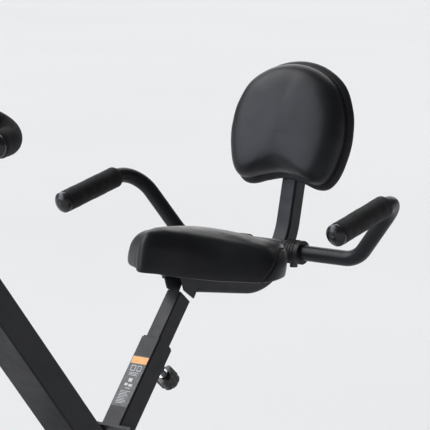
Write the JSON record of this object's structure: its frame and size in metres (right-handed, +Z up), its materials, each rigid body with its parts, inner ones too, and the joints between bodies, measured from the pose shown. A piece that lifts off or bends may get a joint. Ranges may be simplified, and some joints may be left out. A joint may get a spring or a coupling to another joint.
{
  "type": "exercise bike",
  "caption": "Folding upright exercise bike: crossed tube frame, padded saddle and backrest, side hand grips, pedal drive with enclosed flywheel, handlebar with display.",
  "frame": {"origin": "on the floor, under the middle of the bike's bounding box", "axes": "+Z up, +X to the rider's left, -Y forward to the handlebar"},
  "size_m": [0.5752, 1.1625, 1.1906],
  "materials": {
    "frame_steel": "satin black powder coat",
    "bright_steel": "zinc plated",
    "crank_steel": "gloss black",
    "cast_iron": "turned",
    "black_plastic": "fine grain",
    "gloss_black": "moulded gloss",
    "foam": "closed cell foam",
    "vinyl": "soft black vinyl",
    "belt_rubber": "ribbed",
    "display": "display window",
    "button_grey": "soft key"
  },
  "bodies": {
    "main_frame": {"front_leg": "frame_steel", "pivot_yoke": "frame_steel", "pivot_bolt": "bright_steel", "seat_tube": "frame_steel", "seat_tube_bushing": "black_plastic", "seat_pin_boss": "frame_steel", "front_stabiliser": "frame_steel", "front_end_caps": "black_plastic", "front_stabiliser_bolts": "bright_steel", "drive_bracket": "frame_steel", "crank_bearings": "bright_steel", "flywheel_axle": "bright_steel", "housing_left": "black_plastic", "housing_right": "black_plastic", "housing_screws": "bright_steel", "drive_belt": "belt_rubber"},
    "mast": {"mast_beam": "frame_steel", "rear_stabiliser": "frame_steel", "rear_end_caps": "black_plastic", "rear_stabiliser_bolts": "bright_steel", "handlebar_clamp": "frame_steel", "clamp_bolts": "bright_steel", "handlebar": "frame_steel", "handlebar_grips": "foam", "handlebar_end_caps": "gloss_black", "console_case_front": "gloss_black", "console_case_back": "black_plastic", "console_lens": "display"},
    "mode_button": {"mode_button": "button_grey"},
    "tension_knob": {"tension_knob": "gloss_black"},
    "seat_carriage": {"seat_post": "frame_steel", "seat_bracket": "frame_steel", "seat_spine": "frame_steel", "seat_pan": "black_plastic", "seat_cushion": "vinyl", "seat_bolts": "bright_steel", "backrest_board": "black_plastic", "backrest_cushion": "vinyl", "backrest_bolts": "bright_steel", "handle_sleeve": "frame_steel", "side_handle_left": "frame_steel", "side_handle_right": "frame_steel", "handle_collars": "black_plastic", "handle_bolts": "bright_steel", "side_grip_left": "foam", "side_grip_right": "foam", "side_grip_caps": "gloss_black"},
    "seat_pin": {"seat_pin": "bright_steel", "seat_knob": "gloss_black"},
    "fold_pin": {"fold_pin": "bright_steel"},
    "crank_set": {"crank_axle": "bright_steel", "crank_arms": "crank_steel", "drive_pulley": "black_plastic"},
    "pedal_left": {"pedal_left": "black_plastic"},
    "pedal_right": {"pedal_right": "black_plastic"},
    "flywheel": {"flywheel": "cast_iron"},
    "magnet_bracket": {"magnet_bracket": "bright_steel"},
    "transport_wheel_left": {"transport_wheel_left": "black_plastic"},
    "transport_wheel_right": {"transport_wheel_right": "black_plastic"}
  },
  "joints": [
    {"name": "fold", "type": "hinge", "parent": "main_frame", "child": "mast", "pos_m": [0, 0.0245, 0.49], "axis": [-1, 0, 0], "range_deg": [0, 40]},
    {"name": "fold_pin_pull", "type": "slide", "parent": "main_frame", "child": "fold_pin", "axis": [1, 0, 0], "range_m": [0, 0.01]},
    {"name": "seat_height", "type": "slide", "parent": "main_frame", "child": "seat_carriage", "axis": [0, 0.6441, 0.7649], "range_m": [-0.025, 0.075]},
    {"name": "seat_pin_pull", "type": "slide", "parent": "main_frame", "child": "seat_pin", "axis": [0, -0.7649, 0.6441], "range_m": [0, 0.01]},
    {"name": "crank_turn", "type": "hinge", "parent": "main_frame", "child": "crank_set", "pos_m": [0, -0.22482, 0.36004], "axis": [1, 0, 0], "continuous": true},
    {"name": "pedal_left_turn", "type": "hinge", "parent": "crank_set", "child": "pedal_left", "pos_m": [0.118, -0.37987, 0.30361], "axis": [1, 0, 0], "continuous": true},
    {"name": "pedal_right_turn", "type": "hinge", "parent": "crank_set", "child": "pedal_right", "pos_m": [-0.118, -0.06977, 0.41647], "axis": [1, 0, 0], "continuous": true},
    {"name": "flywheel_turn", "type": "hinge", "parent": "main_frame", "child": "flywheel", "pos_m": [0, -0.35344, 0.24611], "axis": [1, 0, 0], "continuous": true},
    {"name": "tension_turn", "type": "hinge", "parent": "mast", "child": "tension_knob", "pos_m": [0, -0.319, 0.93285], "axis": [0, 0.7649, 0.6441], "range_deg": [0, 300]},
    {"name": "magnet_swing", "type": "hinge", "parent": "main_frame", "child": "magnet_bracket", "pos_m": [0, -0.42604, 0.32155], "axis": [1, 0, 0], "range_deg": [0, 1.5]},
    {"name": "mode_press", "type": "slide", "parent": "mast", "child": "mode_button", "axis": [0, 0.5, -0.866], "range_m": [0, 0.0015], "stiffness_N_per_m": 400},
    {"name": "transport_wheel_left_turn", "type": "hinge", "parent": "main_frame", "child": "transport_wheel_left", "pos_m": [0.206, -0.38286, 0.041], "axis": [1, 0, 0], "continuous": true},
    {"name": "transport_wheel_right_turn", "type": "hinge", "parent": "main_frame", "child": "transport_wheel_right", "pos_m": [-0.206, -0.38286, 0.041], "axis": [1, 0, 0], "continuous": true}
  ],
  "couplings": [
    {"joint": "crank_turn", "follows": "flywheel_turn", "ratio": 0.2},
    {"joint": "magnet_swing", "follows": "tension_turn", "ratio": 0.005}
  ]
}
